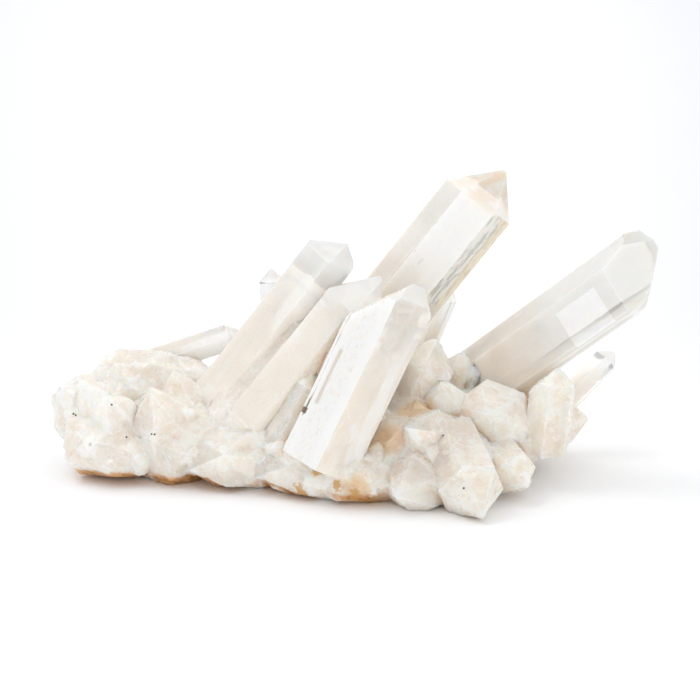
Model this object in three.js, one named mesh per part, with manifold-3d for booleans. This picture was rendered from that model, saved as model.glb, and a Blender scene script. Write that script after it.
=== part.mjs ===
// A clear quartz cluster: long six-sided points that stand on a milky mass of smaller, intergrown crystals.
// Sizes are in millimetres. +Z is up, +X runs along the cluster towards the long right-hand point, and -Y
// faces the front. The origin lies on the surface that the cluster stands on, under the middle of its box.

import * as THREE from "three";
import { ConvexGeometry } from "three/addons/geometries/ConvexGeometry.js";
import { mergeVertices } from "three/addons/utils/BufferGeometryUtils.js";
import Module from "manifold-3d";

const wasm = await Module();
wasm.setup();

// Quartz has six sides, and over each a termination face that lies 38.2 degrees from the long axis
const SIDES = 6;
const CAP_SLOPE = THREE.MathUtils.degToRad(38.2);
// Clearance between a long point's root and the socket that it stands in
const SOCKET_GAP = 0.3;
// Corners closer than this are one corner
const WELD = 0.02;
// The block that is cut away under the mass, which leaves it flat where it rests
const GROUND = { width: 300, depth: 60 };

const MILKY = { color: 0xece3da, roughness: 0.45, metalness: 0 };
const CLEAR = { color: 0xf4f1ee, roughness: 0.12, metalness: 0 };

// The long points. root and tip are the ends of the long axis, half is the distance from the axis to a side
// and turn spins the six sides, in degrees. sides scales the distance of each side, of which the first faces
// the front and the rest go round by the right. caps lowers each side's termination face, or raises it if
// negative.
const TALL_POINT = { root: [-7, 7, 17.5], tip: [38.6, 14, 74.1], half: 8.4, turn: -9, caps: [0, -1, -1] };
const RIGHT_POINT = {
  root: [23, 13.5, 11.5], tip: [71.8, -20, 59.1], half: 6.6, turn: -25,
  sides: [1, 1.5, 1, 1, 1.4, 1], caps: [1.5, -4, -1, -4, -11, -4],
};
const LEFT_POINT = {
  root: [-42, -2, 5.5], tip: [-1.2, 2, 57.4], half: 7, turn: 20,
  sides: [1, 0.7, 1, 1, 1, 1], caps: [-4, -3, 3, 3.5, -6, -3.5],
};
const CENTRE_POINT = {
  root: [-29, -10, 6], tip: [7.2, -6, 51.5], half: 7.1, turn: 20, caps: [0, 0, 0, 0, 1, 1.5],
};
const FRONT_POINT = {
  root: [-7.5, -22, 9], tip: [13.1, -17, 52.1], half: 8.6, turn: 23, caps: [-8, -6.5, 1, 7, 2, -7],
};
const LYING_POINT = { root: [-62, 10.5, 21.5], tip: [-27, 14, 32], half: 3.4, turn: 20 };
const BACK_LEFT_POINT = {
  root: [-18.5, 17.5, 13], tip: [-20.1, 20, 48], half: 3, turn: 10, caps: [0, 0, 1, 1],
};
const BACK_RIGHT_POINT = { root: [16, 24, 16], tip: [26.7, 26, 42], half: 2.6, caps: [1, 1] };
const FAR_RIGHT_POINT = {
  root: [51, 11.5, 9], tip: [69, 20, 25.5], half: 3, turn: 5, caps: [0, -0.5, 0.5, 1],
};

// Smaller crystals that are one with the mass, placed one by one where they show at the front
const STUBS = [
  { root: [36.5, 8, 9], tip: [34.4, -24, 22], half: 8.2, turn: 30, caps: [0, 1, 2, 0, -1, 0] },
  { root: [48, -13, 8.5], tip: [50.2, -13, 31], half: 5.1, turn: 15, caps: [-2, -2, 1, 3, 1, -2] },
  { root: [44, 0, 10], tip: [61, 2, 12.6], half: 5.2, turn: 20 },
  { root: [12, -3, 10], tip: [22.4, -6, 36.5], half: 6.5, turn: 15, caps: [0, 0, 2, 2, 0, 0] },
  { root: [25, 2, 12], tip: [28, 0, 31.5], half: 2.8 },
  { root: [31, 2, 12], tip: [30.5, 0, 28.5], half: 2.6, turn: 20 },
  { root: [27, -4, 6], tip: [21.6, -14, 27], half: 5, turn: 5 },
  { root: [27, -10, 7], tip: [13, -28, 19.5], half: 6.5, turn: 15 },
  { root: [25, -14, 5], tip: [10.5, -37, 5.5], half: 6.6 },
  { root: [24, -18, 13], tip: [31, -42, 2], half: 7.2, turn: 20 },
  { root: [36, -16, 9], tip: [42, -30, 5], half: 5, turn: 10 },
  { root: [-56, 2, 8], tip: [-73, -4, 22], half: 6.5, turn: 10 },
  { root: [-56, -2, 8], tip: [-67, -8, 26], half: 4.8, turn: 25 },
  { root: [-54, -4, 5], tip: [-60, -14, 23.5], half: 4.6, turn: 15 },
  { root: [-50, 2, 8], tip: [-59, -2, 29], half: 4.6 },
  { root: [-44, -6, 2], tip: [-50, -14, 25.5], half: 6.6, turn: 15, caps: [0, 0, 0, 0, 2, 2] },
  { root: [-40, -2, 6], tip: [-43.5, -7, 27.5], half: 6, turn: 5 },
  { root: [-37, -8.5, 2], tip: [-4, 1.5, 44], half: 8.2, turn: 20 },
  { root: [-20, -14.5, 2], tip: [-5, -9, 33], half: 7.5, turn: 10 },
];

// The milky mass itself: overlapping lumps, each a blunt stone of flat breaks. at is its middle and radii its
// half sizes, and crust is how many small crystals grow out of it.
const LUMPS = [
  { at: [-62, 2, 14], radii: [14.5, 13, 11], crust: 24 },
  { at: [-58, -6, 9], radii: [15, 11, 11], crust: 20 },
  { at: [-57, 11, 16], radii: [12, 10, 11], crust: 14 },
  { at: [-44, -6, 10], radii: [15, 12, 13.5], crust: 18 },
  { at: [-52, 4, 20], radii: [15, 10, 11], crust: 14 },
  { at: [-42, 4, 18], radii: [12, 9, 10.5], crust: 8 },
  { at: [-34, 3, 10], radii: [20, 15, 13], crust: 14 },
  { at: [-24, -8, 8], radii: [22, 16, 11], crust: 14 },
  { at: [-8, -14, 7], radii: [19, 15, 9.5], crust: 16 },
  { at: [2, -21, 6], radii: [17, 11, 8], crust: 18 },
  { at: [12, -8, 10], radii: [17, 20, 13], crust: 16 },
  { at: [23, -17, 9], radii: [16, 14, 10.5], crust: 18 },
  { at: [28, -3, 10], radii: [17, 18, 12], crust: 16 },
  { at: [44, 3, 12.5], radii: [12.5, 15, 11], crust: 18 },
  { at: [42, -9, 12], radii: [10, 9, 8.5], crust: 12 },
  { at: [-6, 2, 6], radii: [36, 17, 10], crust: 0 },
  { at: [-30, 14, 11.5], radii: [19, 14, 12], crust: 22 },
  { at: [4, 16, 12.5], radii: [22, 15, 13], crust: 24 },
  { at: [30, 15, 11], radii: [16, 14, 11.5], crust: 20 },
];

// How a lump is broken: its number of corners, how far out they lie as a share of the radii, and how far each
// one is turned from even spacing, in radians
const BREAKS = { corners: 20, reach: [0.9, 1.06], twist: 0.25 };

// How the crust grows from a lump. foot is where a small crystal starts, as a share of the way out, half is
// how thick it is, and stand is how far it stands out. lowest and highest bound its height on the lump, twist
// turns it from even spacing, and its direction strays at random and rises upwards.
const CRUST = {
  foot: 0.6, half: [1.6, 4.2], stand: [-0.8, 1.6],
  lowest: -0.4, highest: 0.9, twist: 0.5, stray: 0.6, rise: 0.3,
};
const SEED = 7;

// The turn between neighbours that spreads points evenly over a ball
const GOLDEN_ANGLE = Math.PI * (3 - Math.sqrt(5));

// A small repeatable random source, so that every run grows the same crystals
function randomFrom(seed) {
  let state = seed;
  return (low = 0, high = 1) => {
    state = (state + 0x6d2b79f5) | 0;
    let mixed = Math.imul(state ^ (state >>> 15), 1 | state);
    mixed = (mixed + Math.imul(mixed ^ (mixed >>> 7), 61 | mixed)) ^ mixed;
    return low + (high - low) * (((mixed ^ (mixed >>> 14)) >>> 0) / 4294967296);
  };
}

// The direction at a height from -1 to 1 and an angle round +Z
function direction(height, around) {
  const ring = Math.sqrt(1 - height * height);
  return new THREE.Vector3(Math.cos(around) * ring, Math.sin(around) * ring, height);
}

// The corners of the space inside all of the planes: every point where three of them meet and none is passed
function cornersInside(planes) {
  const corners = [];
  const [u, v, w] = [0, 1, 2].map(() => new THREE.Vector3());
  for (let i = 0; i < planes.length; i += 1) {
    for (let j = i + 1; j < planes.length; j += 1) {
      for (let k = j + 1; k < planes.length; k += 1) {
        const [a, b, c] = [planes[i], planes[j], planes[k]];
        u.crossVectors(b.normal, c.normal);
        const spread = a.normal.dot(u);
        if (Math.abs(spread) < 1e-6) continue;
        v.crossVectors(c.normal, a.normal);
        w.crossVectors(a.normal, b.normal);
        const corner = new THREE.Vector3()
          .addScaledVector(u, -a.constant / spread)
          .addScaledVector(v, -b.constant / spread)
          .addScaledVector(w, -c.constant / spread);
        const inside = planes.every((plane) => plane.distanceToPoint(corner) < 1e-6);
        const fresh = corners.every((other) => other.distanceTo(corner) > WELD);
        if (inside && fresh) corners.push(corner);
      }
    }
  }
  return corners;
}

// One quartz crystal with its long axis on +Z and its root at the origin, grown by margin on every face
function crystalGeometry({ root, tip, half, turn = 0, sides = [], caps = [] }, margin = 0) {
  const length = new THREE.Vector3(...root).distanceTo(new THREE.Vector3(...tip));
  const planes = [new THREE.Plane(new THREE.Vector3(0, 0, -1), -margin)];
  for (let side = 0; side < SIDES; side += 1) {
    const around = THREE.MathUtils.degToRad(turn) + (side * 2 * Math.PI) / SIDES;
    planes.push(new THREE.Plane(direction(0, around), -half * (sides[side] ?? 1) - margin));
    const reach = (length - (caps[side] ?? 0)) * Math.sin(CAP_SLOPE);
    planes.push(new THREE.Plane(direction(Math.sin(CAP_SLOPE), around), -reach - margin));
  }
  return new ConvexGeometry(cornersInside(planes));
}

// Stands an object on a crystal's root, with its +Z along the long axis and its +X turned to the front
function standOnRoot(object, { root, tip }) {
  const foot = new THREE.Vector3(...root);
  const axis = new THREE.Vector3(...tip).sub(foot).normalize();
  const front = new THREE.Vector3(0, -1, 0).addScaledVector(axis, axis.y).normalize();
  const right = new THREE.Vector3().crossVectors(axis, front);
  object.position.copy(foot);
  object.quaternion.setFromRotationMatrix(new THREE.Matrix4().makeBasis(front, right, axis));
  object.updateMatrix();
  return object;
}

// A closed geometry as a solid that can be joined and cut
function solidOf(geometry) {
  const bare = geometry.clone();
  bare.deleteAttribute("normal");
  bare.deleteAttribute("uv");
  const merged = mergeVertices(bare, 1e-4);
  return new wasm.Manifold(
    new wasm.Mesh({
      numProp: 3,
      vertProperties: new Float32Array(merged.attributes.position.array),
      triVerts: new Uint32Array(merged.index.array),
    }),
  );
}

// A joined and cut solid as a geometry again
function geometryOf(solid) {
  const { vertProperties, triVerts } = solid.getMesh();
  const geometry = new THREE.BufferGeometry();
  geometry.setAttribute("position", new THREE.BufferAttribute(vertProperties, 3));
  geometry.setIndex(new THREE.BufferAttribute(triVerts, 1));
  return geometry;
}

// A crystal as a solid standing in its place
function standingSolid(crystal, margin = 0) {
  const place = standOnRoot(new THREE.Object3D(), crystal).matrix;
  return solidOf(crystalGeometry(crystal, margin)).transform(place.elements);
}

function join(solids) {
  return solids.reduce((all, next) => all.add(next));
}

// A blunt stone: the hull of corners scattered over an ellipsoid
function lumpSolid({ at, radii }, random) {
  const corners = [];
  for (let i = 0; i < BREAKS.corners; i += 1) {
    const height = 1 - (2 * (i + 0.5)) / BREAKS.corners;
    const way = direction(height, i * GOLDEN_ANGLE + random(-BREAKS.twist, BREAKS.twist));
    way.multiplyScalar(random(...BREAKS.reach)).multiply(new THREE.Vector3(...radii));
    corners.push(way.add(new THREE.Vector3(...at)));
  }
  return solidOf(new ConvexGeometry(corners));
}

// Small crystals spread evenly round a lump, each pointing roughly away from its middle and a little upwards
function crustSolids({ at, radii, crust }, random) {
  const crystals = [];
  for (let i = 0; i < crust; i += 1) {
    const height = random(CRUST.lowest, CRUST.highest);
    const way = direction(height, i * GOLDEN_ANGLE + random(-CRUST.twist, CRUST.twist));
    const skin = way.clone().multiply(new THREE.Vector3(...radii));
    const foot = new THREE.Vector3(...at).addScaledVector(skin, CRUST.foot);
    way.add(new THREE.Vector3(random(-1, 1), random(-1, 1), random(-1, 1)).multiplyScalar(CRUST.stray));
    way.z += CRUST.rise;
    const length = skin.length() * (1 - CRUST.foot) + random(...CRUST.stand);
    const tip = foot.clone().addScaledVector(way.normalize(), length);
    const half = random(...CRUST.half);
    const turn = random(0, 360 / SIDES);
    crystals.push(standingSolid({ root: foot.toArray(), tip: tip.toArray(), half, turn }));
  }
  return crystals;
}

// Lumps, stubs and crust in one solid, cut flat below and with a socket for each long point. What the sockets
// part from the rest is left out.
function milkyMass(longPoints) {
  const random = randomFrom(SEED);
  const lumps = LUMPS.map((lump) => lumpSolid(lump, random));
  const stubs = STUBS.map((stub) => standingSolid(stub));
  const crust = LUMPS.flatMap((lump) => crustSolids(lump, random));
  const block = new THREE.BoxGeometry(GROUND.width, GROUND.width, GROUND.depth);
  const ground = solidOf(block.translate(0, 0, -GROUND.depth / 2));
  const sockets = longPoints.map((point) => standingSolid(point, SOCKET_GAP));
  const mass = join([...lumps, ...stubs, ...crust]).subtract(ground).subtract(join(sockets));
  return mass.decompose().reduce((largest, piece) => (piece.volume() > largest.volume() ? piece : largest));
}

function namedMesh(name, geometry, look) {
  const mesh = new THREE.Mesh(geometry, new THREE.MeshStandardMaterial({ ...look, flatShading: true }));
  mesh.name = name;
  return mesh;
}

// The points that stand alone, and the three that have grown into each other
const LONE_POINTS = {
  tall_point: TALL_POINT,
  right_point: RIGHT_POINT,
  lying_point: LYING_POINT,
  back_left_point: BACK_LEFT_POINT,
  back_right_point: BACK_RIGHT_POINT,
  far_right_point: FAR_RIGHT_POINT,
};
const BUNDLE = [LEFT_POINT, CENTRE_POINT, FRONT_POINT];

const grown = new THREE.Group();
grown.add(namedMesh("milky_mass", geometryOf(milkyMass([...Object.values(LONE_POINTS), ...BUNDLE])), MILKY));
grown.add(namedMesh("centre_bundle", geometryOf(join(BUNDLE.map((point) => standingSolid(point)))), CLEAR));
for (const [name, crystal] of Object.entries(LONE_POINTS)) {
  grown.add(standOnRoot(namedMesh(name, crystalGeometry(crystal), CLEAR), crystal));
}

// The origin goes under the middle of the cluster, at the height of the surface that it stands on
const box = new THREE.Box3().setFromObject(grown, true);
grown.position.set(-(box.min.x + box.max.x) / 2, -(box.min.y + box.max.y) / 2, -box.min.z);

const cluster = new THREE.Group();
cluster.add(grown);

export default cluster;
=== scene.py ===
import math
import random

import bmesh
import bpy
import numpy as np
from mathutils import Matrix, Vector, noise
from mathutils.bvhtree import BVHTree


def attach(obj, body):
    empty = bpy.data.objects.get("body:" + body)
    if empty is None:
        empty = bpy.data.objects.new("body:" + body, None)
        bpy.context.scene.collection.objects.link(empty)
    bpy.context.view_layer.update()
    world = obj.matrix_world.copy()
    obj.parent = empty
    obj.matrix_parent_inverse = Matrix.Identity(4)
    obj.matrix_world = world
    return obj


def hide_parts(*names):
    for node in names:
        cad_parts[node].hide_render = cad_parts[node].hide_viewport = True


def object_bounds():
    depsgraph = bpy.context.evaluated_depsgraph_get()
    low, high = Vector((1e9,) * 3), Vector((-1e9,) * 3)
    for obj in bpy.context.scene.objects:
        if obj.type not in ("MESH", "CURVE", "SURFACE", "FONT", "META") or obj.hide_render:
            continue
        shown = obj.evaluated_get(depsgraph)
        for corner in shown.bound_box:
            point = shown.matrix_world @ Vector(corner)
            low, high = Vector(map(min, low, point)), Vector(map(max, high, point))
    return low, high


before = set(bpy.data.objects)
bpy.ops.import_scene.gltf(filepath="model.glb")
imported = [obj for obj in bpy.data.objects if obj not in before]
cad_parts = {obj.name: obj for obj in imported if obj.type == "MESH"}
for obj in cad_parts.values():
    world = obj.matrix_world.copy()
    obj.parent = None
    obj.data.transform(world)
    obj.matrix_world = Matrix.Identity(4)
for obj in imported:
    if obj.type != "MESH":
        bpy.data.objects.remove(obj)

cad_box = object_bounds()
mm = 0.001


# The camera
# A studio camera with a long lens, level with the eye of someone seated at the table. It looks down 15
# degrees at the middle of the cluster, square to its front, from about half a metre away.
camera_target = Vector((1.06, 5.76, 31)) * mm
camera_distance = 486 * mm
camera_height_angle = math.radians(15)

camera = bpy.data.objects.new("camera", bpy.data.cameras.new("camera"))
camera.data.lens = 100
camera.data.sensor_width = 36
camera.data.clip_start = 10 * mm
back = Vector((0, -math.cos(camera_height_angle), math.sin(camera_height_angle)))
camera.location = camera_target + back * camera_distance
camera.rotation_euler = back.to_track_quat("Z", "Y").to_euler()
bpy.context.scene.collection.objects.link(camera)
bpy.context.scene.camera = camera


# The milky mass
# The base that everything grew from: milky quartz of intergrown blunt crystals with a crust of small ones,
# broken off its rock below. Iron water has stained its lower rim orange-brown. Its hollows are painted
# warm brown: painted shade, tinted like iron.
mass_edge = 1.1 * mm
mass_halvings = 5
chisel_size = 6 * mm
chisel_depth = 2.4 * mm
calm_share = 0.85
growth_centre = Vector((5, 5, -60)) * mm
growth_reach = 80 * mm
growth_stretch = 2.2
grit_size = 1.2 * mm
grit_depth = 0.12 * mm
calm_area = (14 * mm ** 2, 40 * mm ** 2)
tone_seed = 11
weld_gap = 0.005 * mm
foot_height = 0.05 * mm
mellow_step = 0.6
socket_reach = 0.45 * mm
socket_overlap = 0.05 * mm
crisp_angle = math.radians(22)
dissolve_angle = math.radians(1)

milk_white = (0.985, 0.94, 0.88, 1)
milk_beige = (0.83, 0.725, 0.61, 1)
milk_grey = (0.84, 0.79, 0.72, 1)
vein_white = (0.995, 0.985, 0.96, 1)
fleck_brown = (0.6, 0.48, 0.36, 1)
hollow_shade_brown = (0.84, 0.61, 0.38, 1)
iron_orange = (0.62, 0.29, 0.07, 1)
iron_dark = (0.2, 0.09, 0.03, 1)
iron_gold = (0.7, 0.41, 0.09, 1)
speck_black = (0.03, 0.025, 0.02, 1)
# Places in mm, before the cluster was seated: each hollow that is painted brown as shade, with its width,
# the patches of golden iron and the black specks
seat = Vector((1.06, 5.76, 0))
shaded_hollows = [
    ((15.7, -17.2, 20), 6), ((9.3, -23.2, 15), 5.5), ((2.3, -29.7, 5.5), 5), ((43.8, -5.7, 21.5), 2.5),
]
gold_spots = [(-7.3, -27.3, 8.1), (-4.1, -30, 9), (-12.1, -26.1, 3.6), (-3, -30.1, 5.5), (1.2, -29.6, 3.8)]
black_specks = [
    (-72.6, 0.7, 20.9), (-58, -14.4, 21.2), (-68.5, -7.9, 16.7), (-67.9, -8.1, 16.4), (-48.3, -17.8, 14.6),
    (-47.5, -17.9, 14.5), (-54.8, -14.6, 12.8), (22.4, -26.8, 17), (26.6, -38.9, 8), (43.5, -6, 22.3),
]


class Shade:
    """One output of a shader node. Sums on it add Math nodes, and make adds any other kind of node."""

    def __init__(self, tree, socket=None):
        self.tree = tree
        self.socket = socket

    def make(self, kind, settings=None, inputs=None, output=0):
        node = self.tree.nodes.new("ShaderNode" + kind)
        for name, value in (settings or {}).items():
            setattr(node, name, value)
        for name, value in (inputs or {}).items():
            if isinstance(value, Shade):
                self.tree.links.new(value.socket, node.inputs[name])
            else:
                node.inputs[name].default_value = value
        return Shade(self.tree, node.outputs[output])

    def sum(self, operation, first, second=0.0):
        return self.make("Math", {"operation": operation}, {0: first, 1: second})

    def __add__(self, other):
        return self.sum("ADD", self, other)

    def __radd__(self, other):
        return self.sum("ADD", other, self)

    def __sub__(self, other):
        return self.sum("SUBTRACT", self, other)

    def __rsub__(self, other):
        return self.sum("SUBTRACT", other, self)

    def __mul__(self, other):
        return self.sum("MULTIPLY", self, other)

    def __rmul__(self, other):
        return self.sum("MULTIPLY", other, self)

    def __truediv__(self, other):
        return self.sum("DIVIDE", self, other)

    def __abs__(self):
        return self.sum("ABSOLUTE", self)

    def larger(self, other):
        return self.sum("MAXIMUM", self, other)

    def smaller(self, other):
        return self.sum("MINIMUM", self, other)

    def rise(self, low, high):
        """0 below low, 1 above high, and smooth between them. Falls instead where low is above high."""
        settings = {"interpolation_type": "SMOOTHSTEP"}
        if low < high:
            return self.make("MapRange", settings, {0: self, 1: low, 2: high, 3: 0.0, 4: 1.0})
        return self.make("MapRange", settings, {0: self, 1: high, 2: low, 3: 1.0, 4: 0.0})

    def between(self, low, high, soft):
        """1 from low to high, and falling to 0 within soft outside them."""
        return self.rise(low - soft, low) * self.rise(high + soft, high)

    def tint(self, low, high):
        """The colour low where this is 0 and high where it is 1."""
        return self.make("Mix", {"data_type": "RGBA"}, {0: self, 6: low, 7: high}, output=2)

    def minus(self, point):
        return self.make("VectorMath", {"operation": "SUBTRACT"}, {0: self, 1: point})

    def plus(self, point):
        return self.make("VectorMath", {"operation": "ADD"}, {0: self, 1: point})

    def dot(self, way):
        return self.make("VectorMath", {"operation": "DOT_PRODUCT"}, {0: self, 1: way}, output=1)

    def stretched(self, scale):
        return self.make("VectorMath", {"operation": "MULTIPLY"}, {0: self, 1: scale})

    def apart(self, point):
        return self.make("VectorMath", {"operation": "DISTANCE"}, {0: self, 1: point}, output=1)

    def height(self):
        return self.make("SeparateXYZ", inputs={0: self}, output=2)

    def noise(self, size, detail=4.0, roughness=0.55, distortion=0.0):
        """Cloudy noise from 0 to 1, with lumps of about the given size."""
        values = {"Vector": self, "Scale": 1 / size, "Detail": detail, "Roughness": roughness}
        values["Distortion"] = distortion
        return self.make("TexNoise", inputs=values)

    def swirled(self, size, far):
        """This place, moved about by up to far in swirls of the given size."""
        swirl = self.make("TexNoise", inputs={"Vector": self, "Scale": 1 / size, "Detail": 3.0}, output=1)
        return self.plus(swirl.minus((0.5, 0.5, 0.5)).stretched((far * 2, far * 2, far * 2)))

    def grains(self, size, output=0, feature="F1"):
        """Crystal grains of about the given size: how far each place is from its grain's middle, or by output
        1 its grain's own random colour and by output 2 its grain's middle."""
        values = {"Vector": self, "Scale": 1 / size}
        return self.make("TexVoronoi", {"feature": feature}, values, output=output)

    def chips(self, size):
        """The height of a surface of small flat facets, each tilted its own way."""
        middle = self.grains(size, output=2)
        tilt = self.grains(size, output=1).minus((0.5, 0.5, 0.5))
        return self.make("VectorMath", {"operation": "SUBTRACT"}, {0: self, 1: middle}).dot(tilt)

    def seams(self, size, width):
        """1 along the thin seams between grains of the given size, and 0 away from them."""
        edge = self.grains(size, feature="DISTANCE_TO_EDGE")
        return edge.rise(width, width * 0.3)


def new_finish(name):
    """An empty material, with its place on the object in metres to start from, and its output node."""
    material = bpy.data.materials.new(name)
    material.use_nodes = True
    tree = material.node_tree
    tree.nodes.clear()
    place = Shade(tree).make("TexCoord", output=3)
    return material, place, tree.nodes.new("ShaderNodeOutputMaterial")


def surface_of(material, output, shader):
    material.node_tree.links.new(shader.socket, output.inputs["Surface"])
    return material


def milky_finish(name, on_skin):
    """Milky quartz. on_skin gives the place on the mass that is nearest to a place of the lists above."""
    material, place, output = new_finish(name)
    facet = place.make("Attribute", {"attribute_name": "facet"}, output=2)
    ridge = place.make("Attribute", {"attribute_name": "ridge"}, output=2)
    calm = place.make("Attribute", {"attribute_name": "calm"}, output=2)
    cloud = place.noise(16 * mm)
    fine = place.noise(1.6 * mm, detail=8)
    flakes = place.swirled(6 * mm, 3 * mm)
    glints = flakes.grains(6.5 * mm, output=1).height() * 0.45
    glints = glints + flakes.grains(2.3 * mm, output=1).height() * 0.55
    tone = cloud.rise(0.35, 0.65) * 0.25 + facet * 0.25 + glints.rise(0.2, 0.8) * 0.5
    colour = tone.tint(milk_white, milk_beige)
    colour = (facet.rise(0.8, 0.82) * 0.35).tint(colour, milk_grey)
    veins = flakes.seams(6.5 * mm, 0.03) * place.noise(7 * mm).rise(0.5, 0.6)
    veins = veins.larger(flakes.seams(2.3 * mm, 0.05) * place.noise(5 * mm).rise(0.45, 0.65) * 0.7)
    patches = place.noise(4 * mm, detail=8, roughness=0.65).rise(0.58, 0.62) * 0.5
    flecks = place.noise(0.9 * mm, detail=4, roughness=0.7).rise(0.63, 0.67) * 0.8
    colour = (veins * 0.8).larger(patches).larger(flecks).larger(ridge * 0.4).tint(colour, vein_white)
    grime = place.noise(0.8 * mm, detail=2).rise(0.68, 0.72) * place.noise(12 * mm).rise(0.5, 0.65)
    colour = (grime * 0.4).tint(colour, fleck_brown)
    # Painted shade: sheltered hollows, and the hollows listed above, are painted a warm brown tinted like
    # iron.
    shelter = place.make("AmbientOcclusion", {"samples": 8}, {"Distance": 6 * mm}, output=1)
    hollow_shade = (1 - shelter).rise(0.45, 1.0) * cloud.rise(0.25, 0.6)
    colour = (hollow_shade * 0.6).tint(colour, hollow_shade_brown)
    for spot, wide in shaded_hollows:
        near = (place.apart(on_skin(spot)) + (cloud - 0.5) * 3 * mm).rise(wide * mm, wide * 0.4 * mm)
        colour = (near * 0.9).tint(colour, hollow_shade_brown)
    ragged = place.noise(5 * mm, detail=6) * 5 * mm
    rim = (place.height() + ragged).rise(6.6 * mm, 5.0 * mm) * place.noise(9 * mm).rise(0.36, 0.5)
    rim = rim * (place.dot((1, 0, 0)) + place.dot((0, -0.5, 0))).rise(26 * mm, 16 * mm)
    for spot in gold_spots:
        frayed = place.noise(1.5 * mm, detail=5, roughness=0.7) * 5 * mm
        near = (place.apart(on_skin(spot)) + frayed).rise(4.0 * mm, 3.4 * mm)
        colour = (near * 0.8).tint(colour, iron_gold)
    colour = (rim * 0.9).tint(colour, iron_orange)
    dark = rim * place.noise(2 * mm).rise(0.55, 0.7)
    colour = (dark * 0.7).tint(colour, iron_dark)
    for spot in black_specks:
        colour = place.apart(on_skin(spot)).rise(0.32 * mm, 0.22 * mm).tint(colour, speck_black)
    relief = (place.chips(2.6 * mm) * 0.8 + place.chips(0.9 * mm) * 0.6) * (1 - calm * 0.8) + fine * 0.15 * mm
    bump = place.make("Bump", inputs={"Strength": 0.5, "Distance": 1.0, "Height": relief})
    milk = place.make("BsdfPrincipled", inputs={
        "Base Color": colour,
        "Roughness": fine.rise(0.3, 0.7) * 0.3 + 0.2,
        "Subsurface Weight": 1.0,
        "Subsurface Radius": (1.0, 0.8, 0.62),
        "Subsurface Scale": 6 * mm,
        "IOR": 1.54,
        "Normal": bump,
    })
    glass = place.make("BsdfPrincipled", inputs={
        "Base Color": (0.98, 0.97, 0.95, 1),
        "Roughness": 0.12,
        "Transmission Weight": 1.0,
        "IOR": 1.544,
        "Normal": bump,
    })
    clear = (0.06 + calm * 0.08 + facet.rise(0.7, 0.75) * 0.06) * (1 - rim) * (1 - hollow_shade)
    outside = 1 - place.make("NewGeometry", output=6)
    shader = place.make("MixShader", inputs={0: (1 - clear) * outside, 1: glass, 2: milk})
    return surface_of(material, output, shader)


def solid_copy(node):
    """A copy of a node's shape with its corners welded and its flat faces whole."""
    bm = bmesh.new()
    bm.from_mesh(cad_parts[node].data)
    bmesh.ops.remove_doubles(bm, verts=bm.verts, dist=weld_gap)
    bmesh.ops.dissolve_limit(bm, angle_limit=dissolve_angle, verts=bm.verts, edges=bm.edges)
    return bm


def mellowed(bm, fill_rounds, soften_rounds, held=()):
    """Fills the valleys of a shape with the milky quartz that joins its lumps, then softens all its corners.
    The foot and the corners held stay where they are."""
    bm.verts.index_update()
    bm.normal_update()
    places = np.array([vert.co for vert in bm.verts])
    ends = np.array([[vert.index for vert in edge.verts] for edge in bm.edges])
    count = np.bincount(ends.ravel(), minlength=len(places))[:, None]
    normals = np.array([vert.normal for vert in bm.verts])
    fixed = places[:, 2] < foot_height
    fixed[list(held)] = True
    for turn in range(fill_rounds + soften_rounds):
        middle = np.zeros_like(places)
        np.add.at(middle, ends[:, 0], places[ends[:, 1]])
        np.add.at(middle, ends[:, 1], places[ends[:, 0]])
        step = (middle / count - places) * mellow_step
        if turn < fill_rounds:
            outwards = (step * normals).sum(axis=1, keepdims=True)
            step = normals * np.maximum(outwards, 0)
        step[fixed] = 0
        places += step
    for vert, spot in zip(bm.verts, places):
        vert.co = spot


def tone_facets(bm, seed):
    """Gives every flat face a random tone of its own, which its finish reads as facet."""
    draw = random.Random(seed)
    tone = bm.faces.layers.float.new("facet")
    for face in bm.faces:
        face[tone] = draw.random()


def mark_calm(bm, small, large):
    """Marks the large flat faces of the blunt crystals, which stay flat and smooth and are read as calm."""
    calm = bm.faces.layers.float.new("calm")
    for face in bm.faces:
        face[calm] = min(max((face.calc_area() - small) / (large - small), 0), 1)


def divided(bm, longest, rounds):
    """Halves every edge of a shape that is longer than longest, a number of times over."""
    bmesh.ops.triangulate(bm, faces=bm.faces)
    for _ in range(rounds):
        edges = [edge for edge in bm.edges if edge.calc_length() > longest]
        bmesh.ops.subdivide_edges(bm, edges=edges, cuts=1)
        bmesh.ops.triangulate(bm, faces=[face for face in bm.faces if len(face.verts) > 3])


def mark_ridges(bm, angle):
    """Marks the sharp outer edges, where handling and light whiten them, which the finish reads as ridge."""
    ridge = bm.verts.layers.float.new("ridge")
    for edge in bm.edges:
        if len(edge.link_faces) == 2 and edge.calc_face_angle_signed() > angle:
            for vert in edge.verts:
                vert[ridge] = 1.0


def keep_crisp(bm, angle):
    """Shades a shape smooth, apart from its edges sharper than angle."""
    for face in bm.faces:
        face.smooth = True
    for edge in bm.edges:
        edge.smooth = edge.calc_face_angle(0) < angle


def make_piece(name, bm, materials, replaced=()):
    """Makes a shape into a piece of the cluster, in place of the nodes that it stands for."""
    mesh = bpy.data.meshes.new(name)
    bm.to_mesh(mesh)
    bm.free()
    for material in materials:
        mesh.materials.append(material)
    piece = bpy.data.objects.new(name, mesh)
    bpy.context.scene.collection.objects.link(piece)
    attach(piece, "root")
    if replaced:
        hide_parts(*replaced)
    return piece


lone_trees = []
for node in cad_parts:
    if node not in ("milky_mass", "centre_bundle"):
        shape = solid_copy(node)
        lone_trees.append(BVHTree.FromBMesh(shape))
        shape.free()


def close_sockets(bm):
    """Draws the walls of the sockets onto the long points, so that these come out of the mass with no gap."""
    for vert in bm.verts:
        for tree in lone_trees:
            spot, normal, _, gap = tree.find_nearest(vert.co)
            if gap < socket_reach:
                vert.co = spot - normal * socket_overlap
                break


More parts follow.
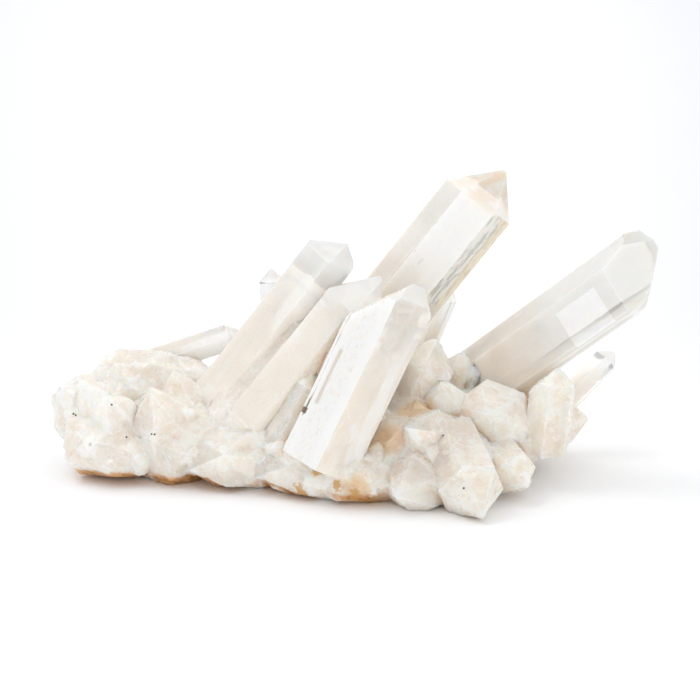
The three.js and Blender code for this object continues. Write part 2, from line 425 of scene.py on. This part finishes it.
def chisel_step(place):
    """How far a surface of small blocky crystals stands out at a place: each is a plane tilted its own way,
    and longer outwards from under the mass, the way that quartz grows."""
    offset = place - growth_centre
    far = growth_reach + (offset.length - growth_reach) / growth_stretch
    place = offset.normalized() * far
    middle = noise.voronoi(place / chisel_size)[1][0] * chisel_size
    tilt = noise.cell_vector(middle * (7 / chisel_size)) - Vector((0.5, 0.5, 0.5))
    return (place - middle).dot(tilt) / chisel_size


def roughen(bm):
    """Breaks the milky faces of a shape into small chiselled ones with fine grit, and keeps its foot flat."""
    bm.normal_update()
    calm = bm.faces.layers.float["calm"]
    for vert in bm.verts:
        if vert.co.z < foot_height or any(face.material_index for face in vert.link_faces):
            continue
        flat = sum(face[calm] for face in vert.link_faces) / len(vert.link_faces)
        step = chisel_step(vert.co) * chisel_depth * (1 - flat * calm_share)
        step += noise.fractal(vert.co / grit_size, 0.8, 2.1, 3) * grit_depth
        vert.co += vert.normal * step
        vert.co.z = max(vert.co.z, 0)


mass = solid_copy("milky_mass")
close_sockets(mass)


# The centre bundle
# Three clear points that grew into each other in the middle of the cluster, milky at the root and clear at
# the tip. The left one is the longest, the centre one is chipped and the front one has an etched white face.
edge_wear = 0.1 * mm
bundle_swell = 0.42 * mm
skin_match = 0.02 * mm
crisp_height = 36 * mm
front_crisp_height = 17 * mm
fill_rounds = 45
soften_rounds = 4
root_milk = (0.885, 0.815, 0.725, 1)
tip_milk = (0.885, 0.85, 0.79, 1)
bright_milk = (0.94, 0.93, 0.9, 1)
grain_beige = (0.76, 0.68, 0.58, 1)
clear_glass = (0.955, 0.95, 0.935, 1)
etched_sand = (0.82, 0.75, 0.64, 1)
iron_line = (0.16, 0.1, 0.06, 1)
iron_peach = (0.86, 0.66, 0.45, 1)
cool_grey = (0.42, 0.46, 0.5, 1)


class Crystal:
    """One long point, as part.mjs gives it in mm, with the directions of its axis and of its faces."""

    def __init__(self, root, tip, half, turn=0):
        self.root = (Vector(root) + seat) * mm
        self.tip = (Vector(tip) + seat) * mm
        self.half = half * mm
        self.turn = math.radians(turn)
        self.axis = (self.tip - self.root).normalized()
        self.front = (Vector((0, -1, 0)) + self.axis * self.axis.y).normalized()
        self.right = self.axis.cross(self.front)

    def face(self, side):
        """The way that one of its six sides faces."""
        around = self.turn + side * math.pi / 3
        return self.front * math.cos(around) + self.right * math.sin(around)

    def from_axis(self, place):
        """How far a place is from the axis, as a share of the crystal's half width."""
        step = place - self.root
        return (step - self.axis * step.dot(self.axis)).length / self.half


class Look:
    """What one crystal's finish is made from: places along and across it in mm, and masks for its faces."""

    def __init__(self, crystal, place):
        self.crystal = crystal
        self.place = place
        offset = place.minus(crystal.root)
        self.along = offset.dot(crystal.axis) / mm
        self.across = offset.dot(crystal.right) / mm
        self.share = self.along / ((crystal.tip - crystal.root).length / mm)
        self.normal = place.make("NewGeometry", output=3)
        self.edge = place.make("Attribute", {"attribute_name": "edge"}, output=2)
        self.streaked = self.run(10)
        self.colour = None
        self.haze = None
        self.relief = None

    def run(self, longer):
        """The crystal's own place with its length drawn in, so that noise on it runs along the crystal."""
        crystal = self.crystal
        squeeze = crystal.axis * (1 / longer - 1)
        values = {0: tuple(squeeze), "Scale": self.along * mm}
        drawn = self.along.make("VectorMath", {"operation": "SCALE"}, values)
        return self.place.plus(drawn)

    def side(self, number):
        return self.normal.dot(self.crystal.face(number)).rise(0.9, 0.95)

    def paint(self, mask, colour):
        self.colour = mask.tint(self.colour, colour)

    def cloud_over(self, mask, haze):
        """Takes the haze to a new share where the mask is 1."""
        self.haze = self.haze * (1 - mask) + mask * haze


def quartz_finish(name, crystal, marks, milks=(root_milk, tip_milk), clearest=0.7, cloudiest=0.95,
                  absorbs=True):
    """Quartz that clears from its root to its tip: see-through crystal under a skin of milky haze. Where
    absorbs is true, it also takes up a little light in its depth."""
    material, place, output = new_finish(name)
    look = Look(crystal, place)
    cloud = place.noise(9 * mm, detail=5)
    look.colour = look.share.rise(0.3, 0.95).tint(*milks)
    look.paint(cloud.rise(0.45, 0.7) * 0.25, milk_white)
    wisps = look.streaked.noise(2.5 * mm, detail=6, distortion=0.5).rise(0.54, 0.7)
    look.haze = (look.share + cloud * 0.5 - 0.25).rise(0.95, 0.35) * (cloudiest - clearest) + clearest
    look.relief = look.streaked.noise(1.2 * mm, detail=3) * 0.1 + place.noise(7 * mm, detail=2)
    look.paint(wisps * 0.35, bright_milk)
    grain = place.noise(0.6 * mm, detail=3, roughness=0.7)
    look.paint(grain.rise(0.5, 0.7) * 0.25, grain_beige)
    look.paint(grain.rise(0.5, 0.3) * 0.25, bright_milk)
    capped = look.normal.dot(crystal.axis).rise(0.3, 0.5)
    look.cloud_over(capped, 0.8)
    look.paint(capped * 0.7, bright_milk)
    marks(look)
    # The rounded edges are painted brighter: partly wear, partly a painted highlight along them.
    look.paint(look.edge * 0.4, bright_milk)
    bump = place.make("Bump", inputs={"Strength": 0.25, "Distance": 0.4 * mm, "Height": look.relief})
    glass = place.make("BsdfPrincipled", inputs={
        "Base Color": clear_glass,
        "Roughness": 0.04,
        "IOR": 1.544,
        "Transmission Weight": 1.0,
        "Normal": bump,
    })
    milk = place.make("BsdfPrincipled", inputs={
        "Base Color": look.colour,
        "Roughness": 0.25,
        "Subsurface Weight": 1.0,
        "Subsurface Radius": (1.0, 0.85, 0.7),
        "Subsurface Scale": 4 * mm,
        "IOR": 1.544,
        "Normal": bump,
    })
    outside = 1 - place.make("NewGeometry", output=6)
    body = place.make("MixShader", inputs={0: look.haze * outside, 1: glass, 2: milk})
    if absorbs:
        depth = place.make("VolumeAbsorption", inputs={"Color": (0.95, 0.91, 0.86, 1), "Density": 6.0})
        material.node_tree.links.new(depth.socket, output.inputs["Volume"])
    return surface_of(material, output, body)


def worn(bm, width):
    """Rounds every edge of a crystal a little, as years of handling do, and marks the rounding as edge."""
    edge = bm.faces.layers.float.new("edge")
    rounded = bmesh.ops.bevel(bm, geom=list(bm.edges) + list(bm.verts), offset=width, segments=2, profile=0.6,
                              affect="EDGES", clamp_overlap=True)["faces"]
    for face in rounded:
        face[edge] = 1.0
    bmesh.ops.triangulate(bm, faces=bm.faces)
    keep_crisp(bm, math.radians(30))


def left_marks(look):
    """The left point has a bright head with a white band in it and a thin grey edge low on its right."""
    head = look.along.rise(44, 60)
    look.paint(head * 0.7, bright_milk)
    look.cloud_over(head, 0.8)
    look.paint(look.along.between(60, 66, 2) * look.side(0) * 0.8, bright_milk)
    phantom = abs(look.along + look.place.noise(6 * mm) * 5 - 55).rise(1.2, 0.2) * head
    look.paint(phantom * 0.2, cool_grey)
    look.paint(look.along.between(56.7, 60.3, 0.5) * look.across.rise(3.6, 4.4) * 0.7, cool_grey)


def centre_marks(look):
    """The centre point is milky all through, with broken chips below its tip."""
    chipped = look.along.rise(40, 48)
    look.cloud_over(1 - chipped, 0.97)
    look.relief = look.relief + look.place.chips(4 * mm) / mm * chipped * 0.9
    # Painted glints: some chip facets are painted bright, as if catching the light.
    flash = look.place.grains(4 * mm, output=1).height().rise(0.72, 0.74) * chipped
    look.paint(flash * 0.8, bright_milk)


def front_marks(look):
    """The front point's left face is etched: bright white with sandy grain, a sunk bar and a thin iron line
    with a black spot at its end. Its right face is glassy, with bright streaks along it."""
    etched = look.side(5)
    sand = look.run(2.5).noise(0.6 * mm, detail=4, roughness=0.75).rise(0.5, 0.66)
    look.paint(etched, bright_milk)
    look.paint(etched * sand * 0.6, etched_sand)
    look.cloud_over(etched, 0.98)
    drift = look.place.noise(8 * mm) * 0.5
    bar = (look.across + drift).between(-7.8, -6.9, 0.2) * look.along.between(14, 27.5, 0.8) * etched
    look.paint(bar * 0.45, (0.55, 0.45, 0.35, 1))
    polished = (look.across.between(-8.6, -7.9, 0.15) + look.across.between(-3.2, -1.2, 0.3)) * etched
    look.paint(polished * 0.9, bright_milk)
    look.relief = look.relief + etched * (sand * 0.5 - bar * 1.5) * (1 - polished.smaller(1.0))
    line = look.across.between(-9.1, -8.8, 0.12) * look.along.between(10, 38, 1) * etched
    broken = look.streaked.noise(1.5 * mm, detail=2).rise(0.4, 0.55)
    look.paint(line * broken * 0.8, iron_line)
    look.paint(look.along.between(10.2, 11.4, 0.3) * look.across.rise(-8.4, -8.7) * etched * 0.9, iron_line)
    right_edge = look.side(0) * look.across.between(4.8, 7.2, 0.4)
    glow = look.side(0) * look.run(3).noise(3 * mm, detail=5, distortion=1.0).rise(0.54, 0.62)
    look.paint((right_edge * 0.6).larger(glow * 0.6), bright_milk)
    veil = look.side(0) * look.run(4).noise(4 * mm, detail=5).rise(0.5, 0.4)
    look.paint(veil * 0.3, grain_beige)


left_point = Crystal((-42, -2, 5.5), (-1.2, 2, 57.4), half=7, turn=20)
centre_point = Crystal((-29, -10, 6), (7.2, -6, 51.5), half=7.1, turn=20)
front_point = Crystal((-7.5, -22, 9), (13.1, -17, 52.1), half=8.6, turn=23)
bundle_points = {
    "quartz_left_point": (left_point, left_marks),
    "quartz_centre_point": (centre_point, centre_marks),
    "quartz_front_point": (front_point, front_marks),
}
bundle_finishes = [quartz_finish(name, crystal, marks, absorbs=False)
                   for name, (crystal, marks) in bundle_points.items()]


def swollen(bm, margin):
    """Moves every face of a shape out by a margin."""
    bm.normal_update()
    moves = [vert.normal * vert.calc_shell_factor() * margin for vert in bm.verts]
    for vert, move in zip(bm.verts, moves):
        vert.co += move


def joined(bm, other):
    """One shape made of two that overlap."""
    pieces = []
    for shape in (bm, other):
        mesh = bpy.data.meshes.new("part")
        shape.to_mesh(mesh)
        pieces.append(bpy.data.objects.new("part", mesh))
        bpy.context.scene.collection.objects.link(pieces[-1])
    union = pieces[0].modifiers.new("union", "BOOLEAN")
    union.operation = "UNION"
    union.solver = "MANIFOLD"
    union.object = pieces[1]
    whole = bmesh.new()
    whole.from_object(pieces[0], bpy.context.evaluated_depsgraph_get())
    for piece in pieces:
        bpy.data.meshes.remove(piece.data)
    return whole


bundle = solid_copy("centre_bundle")
swollen(bundle, bundle_swell)
bundle_tree = BVHTree.FromBMesh(bundle)
core = joined(mass, bundle)
bmesh.ops.remove_doubles(core, verts=core.verts, dist=weld_gap)
mark_calm(core, *calm_area)
tone_facets(core, tone_seed)
bmesh.ops.triangulate(core, faces=core.faces)
for face in core.faces:
    middle = face.calc_center_median()
    if bundle_tree.find_nearest(middle)[3] < skin_match:
        reaches = [crystal.from_axis(middle) for crystal, _ in bundle_points.values()]
        face.material_index = 1 + reaches.index(min(reaches))
divided(core, mass_edge, mass_halvings)
core.verts.index_update()
crisp_points = [vert.index for vert in core.verts
                if vert.co.z > crisp_height or vert.co.z > front_crisp_height
                and any(face.material_index == 3 for face in vert.link_faces)]
mellowed(core, fill_rounds, 0, held=crisp_points)
calm = core.faces.layers.float["calm"]
long_faces = [vert.index for vert in core.verts
              if any(face.material_index or face[calm] > 0.5 for face in vert.link_faces)]
mellowed(core, 0, soften_rounds, held=long_faces)
mark_ridges(core, crisp_angle)
roughen(core)
for vert in core.verts:
    vert.co = [min(max(value, low), high) for value, low, high in zip(vert.co, *cad_box)]
keep_crisp(core, crisp_angle)
skin = BVHTree.FromBMesh(core)
milky_quartz = milky_finish("milky_quartz", lambda spot: skin.find_nearest((Vector(spot) + seat) * mm)[0])
make_piece("grown_core", core, [milky_quartz] + bundle_finishes,
           ["milky_mass", "centre_bundle"])


# The lone points
# Six clear points that stand alone in the mass. Each is one crystal of quartz with flat, lustrous faces, and
# the two long ones have marks of their own: a bright window, which on the tall point is a painted highlight,
# a painted silvery reflection down the tall point's right and iron in the tip.
lone_root = (0.79, 0.72, 0.63, 1)
lone_tip = (0.71, 0.685, 0.625, 1)
slim_root = (0.82, 0.77, 0.7, 1)
slim_tip = (0.86, 0.87, 0.88, 1)
silver_dark = (0.4, 0.4, 0.34, 1)
silver_pale = (0.85, 0.85, 0.8, 1)
gold_edge = (0.85, 0.68, 0.4, 1)


def tall_marks(look):
    """The tall point has a bright window with dark flaws, which is a painted highlight, a silvery strip down
    its right, which is a painted reflection, and iron in its tip.
    """
    ragged = look.place.noise(3 * mm, detail=6) * 4
    # The window is a painted highlight: light seen through the crystal and reflected inside it.
    window = look.side(0) * (look.across + ragged).rise(-4.6, -4.0) * look.along.rise(30, 48)
    look.paint(window * 0.95, bright_milk)
    # The silvery strip is a painted reflection of the darker room, seen inside the crystal down its right
    # face.
    reflected_strip = look.side(1) * look.along.rise(34, 37)
    mottle = look.run(4).noise(1.2 * mm, detail=5, roughness=0.7)
    look.paint(reflected_strip * 0.9, silver_pale)
    look.paint(reflected_strip * mottle.rise(0.47, 0.58) * 0.7, silver_dark)
    look.cloud_over(reflected_strip, 0.9)
    look.paint(reflected_strip * look.across.rise(6.8, 7.5) * 0.5, gold_edge)
    flaw = window * look.run(3).noise(1.6 * mm, detail=6).rise(0.66, 0.7) * look.along.between(42, 58, 4)
    look.paint(flaw * 0.35, silver_dark)
    stain = look.along.rise(60, 66) * look.place.noise(5 * mm).rise(0.38, 0.55)
    look.paint(stain * 0.6, iron_peach)
    look.paint(look.edge * look.along.rise(56, 62) * 0.5, iron_peach)


def right_marks(look):
    """The right point has a white rectangular window low in its front and iron on its tip's upper corner."""
    clear = look.along.rise(30, 48)
    look.paint(clear * 0.6, (0.78, 0.79, 0.76, 1))
    window = look.along.between(49, 61.5, 0.3) * look.across.between(-4, 4.8, 0.3)
    streaks = look.run(5).noise(2 * mm, detail=4)
    look.paint(window * (0.75 + streaks * 0.4), bright_milk)
    lines = abs(look.across - 5.6).rise(0.35, 0.2) + abs(look.across - 7.0).rise(0.3, 0.15)
    lines = lines * look.along.rise(36, 40)
    look.paint(lines * 0.8, bright_milk)
    look.paint(look.along.rise(70, 74) * (look.across.rise(-5.5, -7.5)) * 0.5, iron_peach)


def plain_marks(look):
    """A small point has only its white edges."""


lone_points = {
    "tall_point": (Crystal((-7, 7, 17.5), (38.6, 14, 74.1), half=8.4, turn=-9), tall_marks),
    "right_point": (Crystal((23, 13.5, 11.5), (71.8, -20, 59.1), half=6.6, turn=-25), right_marks),
    "lying_point": (Crystal((-62, 10.5, 21.5), (-27, 14, 32), half=3.4, turn=20), plain_marks),
    "back_left_point": (Crystal((-18.5, 17.5, 13), (-20.1, 20, 48), half=3, turn=10), plain_marks),
    "back_right_point": (Crystal((16, 24, 16), (26.7, 26, 42), half=2.6), plain_marks),
    "far_right_point": (Crystal((51, 11.5, 9), (69, 20, 25.5), half=3, turn=5), plain_marks),
}
for node, (crystal, marks) in lone_points.items():
    slim = marks is plain_marks
    milks = (slim_root, slim_tip) if slim else (lone_root, lone_tip)
    finish = quartz_finish("quartz_" + node, crystal, marks, milks, clearest=0.45 if slim else 0.62)
    shape = solid_copy(node)
    worn(shape, edge_wear)
    make_piece(node + "_crystal", shape, [finish], [node])


# The studio
# A plain white table, painted greyer towards its far sides as painted shade, under one large soft light high
# on the left.
# The room is pale, a little darker behind the camera and darker again at the left.
floor_white = (0.97, 0.975, 0.98, 1)
floor_shade_grey = (0.83, 0.85, 0.885, 1)
table = bpy.data.meshes.new("table")
half_width = 4
corners = [(-half_width, -half_width, 0), (half_width, -half_width, 0), (half_width, half_width, 0),
           (-half_width, half_width, 0)]
table.from_pydata(corners, [], [(0, 1, 2, 3)])
floor = bpy.data.objects.new("table", table)
bpy.context.scene.collection.objects.link(floor)
paint, place, output = new_finish("table_white")
# Painted shade: the table is painted greyer towards its far sides.
sideways = abs(place.dot((1, 0, 0))) / (place.dot((0, 1, 0)) + 0.5)
far_side_shade = sideways.rise(0.07, 0.22) * place.dot((0, 1, 0)).rise(-0.05, 0.2)
shade = place.make("BsdfDiffuse", inputs={"Color": far_side_shade.tint(floor_white, floor_shade_grey)})
surface_of(paint, output, shade)
table.materials.append(paint)


def soft_light(name, spot, aim, width, power, colour=(1, 1, 1)):
    lamp = bpy.data.objects.new(name, bpy.data.lights.new(name, "AREA"))
    lamp.data.shape = "DISK"
    lamp.data.size = width
    lamp.data.energy = power
    lamp.data.color = colour
    lamp.location = spot
    lamp.rotation_euler = (Vector(spot) - Vector(aim)).to_track_quat("Z", "Y").to_euler()
    bpy.context.scene.collection.objects.link(lamp)


soft_light("key_light", (-1.6, 0.4, 2.8), (0, 0, 0), 2, 25)

world = bpy.data.worlds.new("room")
world.use_nodes = True
tree = world.node_tree
tree.nodes.clear()
way = Shade(tree).make("TexCoord", output=0)
ahead = way.dot((0, 1, 0))
from_left = way.dot((-0.9, -0.1, 0.3)).rise(0.1, 0.9)
room_light = ahead.rise(-0.9, 0.3).tint((1.0, 1.0, 1.0, 1), (1.04, 1.04, 1.045, 1))
room_light = from_left.tint(room_light, (0.72, 0.73, 0.76, 1))
sky = way.make("Background", inputs={"Color": room_light, "Strength": 1.0})
tree.links.new(sky.socket, tree.nodes.new("ShaderNodeOutputWorld").inputs["Surface"])
bpy.context.scene.world = world
bpy.context.scene.view_settings.view_transform = "Standard"
